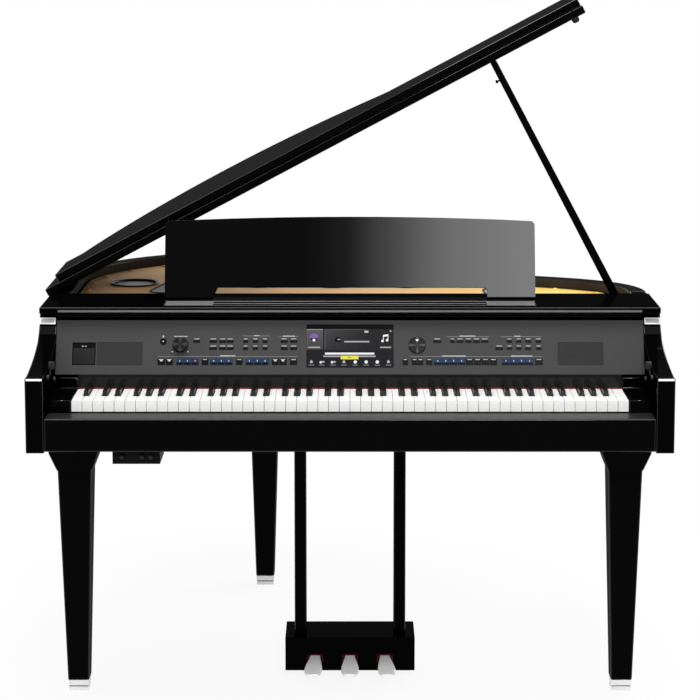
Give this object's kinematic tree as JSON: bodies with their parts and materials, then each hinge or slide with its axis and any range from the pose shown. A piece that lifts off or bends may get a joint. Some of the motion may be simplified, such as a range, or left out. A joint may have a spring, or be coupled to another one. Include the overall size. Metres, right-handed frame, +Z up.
{
  "type": "digital grand piano",
  "caption": "Digital baby grand piano in polished black: curved case on tapered legs, lid propped open with its front leaf folded back, music desk, control panel, keyboard and pedal lyre.",
  "frame": {"origin": "on the floor under the middle of the whole piano, at the middle of the keyboard's width", "axes": "+X to the player's right, +Y from the player towards the tail, +Z up"},
  "size_m": [1.4213, 1.25, 1.5887],
  "materials": {
    "polished_ebony": "high-gloss black polyester lacquer",
    "panel_grey": "fine satin",
    "soft_black": "matt",
    "control_black": "semi-gloss",
    "screen_cloth": "woven speaker cloth on a board",
    "frame_gold": "satin gold lacquer",
    "white_key": "smooth moulded",
    "black_key": "semi-matt moulded",
    "key_frame_wood": "bare wood",
    "display_glass": "clear glossy screen in a black frame",
    "satin_silver": "satin",
    "pedal_chrome": "polished",
    "dark_steel": "black lacquer",
    "zinc_steel": "zinc plated",
    "circuit_board": "solder mask"
  },
  "bodies": {
    "case": {"bottom_board": "polished_ebony", "left_side_panel": "polished_ebony", "right_side_panel": "polished_ebony", "curved_rim": "polished_ebony", "belly_rail": "polished_ebony", "top_board": "polished_ebony", "keyslip": "polished_ebony", "left_key_block": "polished_ebony", "right_key_block": "polished_ebony", "fallboard_strip": "polished_ebony", "control_panel": "panel_grey", "display_module": "display_glass", "left_speaker_grille": "panel_grey", "right_speaker_grille": "panel_grey", "device_bay": "soft_black", "sound_screen": "screen_cloth", "frame_plate": "frame_gold", "white_keys": "white_key", "black_keys": "black_key", "key_frame": "key_frame_wood", "left_woofer": "soft_black", "right_woofer": "soft_black", "main_board": "circuit_board", "power_unit": "zinc_steel", "jack_box": "soft_black", "left_front_leg": "polished_ebony", "right_front_leg": "polished_ebony", "rear_leg": "polished_ebony", "left_front_foot": "satin_silver", "right_front_foot": "satin_silver", "rear_foot": "satin_silver", "left_lyre_post": "polished_ebony", "right_lyre_post": "polished_ebony", "pedal_box": "polished_ebony", "desk_rail": "polished_ebony", "prop_bracket": "dark_steel"},
    "lid": {"lid": "polished_ebony"},
    "lid_front_leaf": {"lid_front_leaf": "polished_ebony"},
    "lid_prop": {"lid_prop": "polished_ebony"},
    "music_desk": {"music_desk": "polished_ebony"},
    "left_desk_stay": {"left_desk_stay": "zinc_steel"},
    "right_desk_stay": {"right_desk_stay": "zinc_steel"},
    "key_cover": {"key_cover": "polished_ebony"},
    "soft_pedal": {"soft_pedal": "pedal_chrome"},
    "middle_pedal": {"middle_pedal": "pedal_chrome"},
    "damper_pedal": {"damper_pedal": "pedal_chrome"},
    "volume_dial": {"volume_dial": "control_black"},
    "four_way_pad": {"four_way_pad": "satin_silver"},
    "key_c": {"key_c": "white_key"},
    "key_c_sharp": {"key_c_sharp": "black_key"},
    "key_d": {"key_d": "white_key"},
    "key_d_sharp": {"key_d_sharp": "black_key"},
    "key_e": {"key_e": "white_key"},
    "key_f": {"key_f": "white_key"},
    "key_f_sharp": {"key_f_sharp": "black_key"},
    "key_g": {"key_g": "white_key"},
    "key_g_sharp": {"key_g_sharp": "black_key"},
    "key_a": {"key_a": "white_key"},
    "key_a_sharp": {"key_a_sharp": "black_key"},
    "key_b": {"key_b": "white_key"}
  },
  "joints": [
    {"name": "lid_hinge", "type": "hinge", "parent": "case", "child": "lid", "pos_m": [-0.7065, -0.178, 0.895], "axis": [0, -1, 0], "range_deg": [0, 8]},
    {"name": "front_leaf_hinge", "type": "hinge", "parent": "lid", "child": "lid_front_leaf", "pos_m": [-0.71451, -0.178, 0.91011], "axis": [0.8834, 0, 0.4687], "range_deg": [0, 130]},
    {"name": "prop_fold", "type": "hinge", "parent": "case", "child": "lid_prop", "pos_m": [0.6305, -0.16, 0.882], "axis": [0, -1, 0], "range_deg": [0, 61.5]},
    {"name": "desk_fold", "type": "hinge", "parent": "case", "child": "music_desk", "pos_m": [0, -0.3, 0.9095], "axis": [-1, 0, 0], "range_deg": [0, 75]},
    {"name": "left_stay_fold", "type": "hinge", "parent": "music_desk", "child": "left_desk_stay", "pos_m": [-0.36, -0.2775, 0.98112], "axis": [1, 0, 0], "range_deg": [0, 143]},
    {"name": "right_stay_fold", "type": "hinge", "parent": "music_desk", "child": "right_desk_stay", "pos_m": [0.36, -0.2775, 0.98112], "axis": [1, 0, 0], "range_deg": [0, 143]},
    {"name": "key_cover_slide", "type": "slide", "parent": "case", "child": "key_cover", "axis": [0, -1, 0], "range_m": [0, 0.15]},
    {"name": "soft_pedal_press", "type": "hinge", "parent": "case", "child": "soft_pedal", "pos_m": [-0.0815, -0.2, 0.058], "axis": [1, 0, 0], "range_deg": [0, 5], "stiffness_Nm_per_rad": 20, "springref_deg": -5.73},
    {"name": "middle_pedal_press", "type": "hinge", "parent": "case", "child": "middle_pedal", "pos_m": [0, -0.2, 0.058], "axis": [1, 0, 0], "range_deg": [0, 5], "stiffness_Nm_per_rad": 20, "springref_deg": -5.73},
    {"name": "damper_pedal_press", "type": "hinge", "parent": "case", "child": "damper_pedal", "pos_m": [0.0815, -0.2, 0.058], "axis": [1, 0, 0], "range_deg": [0, 5], "stiffness_Nm_per_rad": 20, "springref_deg": -5.73},
    {"name": "volume_turn", "type": "hinge", "parent": "case", "child": "volume_dial", "pos_m": [-0.3836, -0.39425, 0.81418], "axis": [0, 0.9239, -0.3827], "range_deg": [-150, 150]},
    {"name": "pad_press", "type": "slide", "parent": "case", "child": "four_way_pad", "axis": [0, 0.9239, -0.3827], "range_m": [0, 0.001], "stiffness_N_per_m": 1500, "springref_m": -0.0005},
    {"name": "key_c_press", "type": "hinge", "parent": "case", "child": "key_c", "pos_m": [-0.06364, -0.32, 0.70515], "axis": [1, 0, 0], "range_deg": [0, 2.4], "stiffness_Nm_per_rad": 1, "springref_deg": -11.46},
    {"name": "key_c_sharp_press", "type": "hinge", "parent": "case", "child": "key_c_sharp", "pos_m": [-0.0495, -0.32, 0.70515], "axis": [1, 0, 0], "range_deg": [0, 2.4], "stiffness_Nm_per_rad": 1, "springref_deg": -11.46},
    {"name": "key_d_press", "type": "hinge", "parent": "case", "child": "key_d", "pos_m": [-0.03536, -0.32, 0.70515], "axis": [1, 0, 0], "range_deg": [0, 2.4], "stiffness_Nm_per_rad": 1, "springref_deg": -11.46},
    {"name": "key_d_sharp_press", "type": "hinge", "parent": "case", "child": "key_d_sharp", "pos_m": [-0.02121, -0.32, 0.70515], "axis": [1, 0, 0], "range_deg": [0, 2.4], "stiffness_Nm_per_rad": 1, "springref_deg": -11.46},
    {"name": "key_e_press", "type": "hinge", "parent": "case", "child": "key_e", "pos_m": [-0.00707, -0.32, 0.70515], "axis": [1, 0, 0], "range_deg": [0, 2.4], "stiffness_Nm_per_rad": 1, "springref_deg": -11.46},
    {"name": "key_f_press", "type": "hinge", "parent": "case", "child": "key_f", "pos_m": [0.00673, -0.32, 0.70515], "axis": [1, 0, 0], "range_deg": [0, 2.4], "stiffness_Nm_per_rad": 1, "springref_deg": -11.46},
    {"name": "key_f_sharp_press", "type": "hinge", "parent": "case", "child": "key_f_sharp", "pos_m": [0.0202, -0.32, 0.70515], "axis": [1, 0, 0], "range_deg": [0, 2.4], "stiffness_Nm_per_rad": 1, "springref_deg": -11.46},
    {"name": "key_g_press", "type": "hinge", "parent": "case", "child": "key_g", "pos_m": [0.03367, -0.32, 0.70515], "axis": [1, 0, 0], "range_deg": [0, 2.4], "stiffness_Nm_per_rad": 1, "springref_deg": -11.46},
    {"name": "key_g_sharp_press", "type": "hinge", "parent": "case", "child": "key_g_sharp", "pos_m": [0.04714, -0.32, 0.70515], "axis": [1, 0, 0], "range_deg": [0, 2.4], "stiffness_Nm_per_rad": 1, "springref_deg": -11.46},
    {"name": "key_a_press", "type": "hinge", "parent": "case", "child": "key_a", "pos_m": [0.06061, -0.32, 0.70515], "axis": [1, 0, 0], "range_deg": [0, 2.4], "stiffness_Nm_per_rad": 1, "springref_deg": -11.46},
    {"name": "key_a_sharp_press", "type": "hinge", "parent": "case", "child": "key_a_sharp", "pos_m": [0.07408, -0.32, 0.70515], "axis": [1, 0, 0], "range_deg": [0, 2.4], "stiffness_Nm_per_rad": 1, "springref_deg": -11.46},
    {"name": "key_b_press", "type": "hinge", "parent": "case", "child": "key_b", "pos_m": [0.08755, -0.32, 0.70515], "axis": [1, 0, 0], "range_deg": [0, 2.4], "stiffness_Nm_per_rad": 1, "springref_deg": -11.46}
  ],
  "couplings": [
    {"joint": "left_stay_fold", "follows": "desk_fold", "ratio": 1.9021},
    {"joint": "right_stay_fold", "follows": "desk_fold", "ratio": 1.9021}
  ]
}
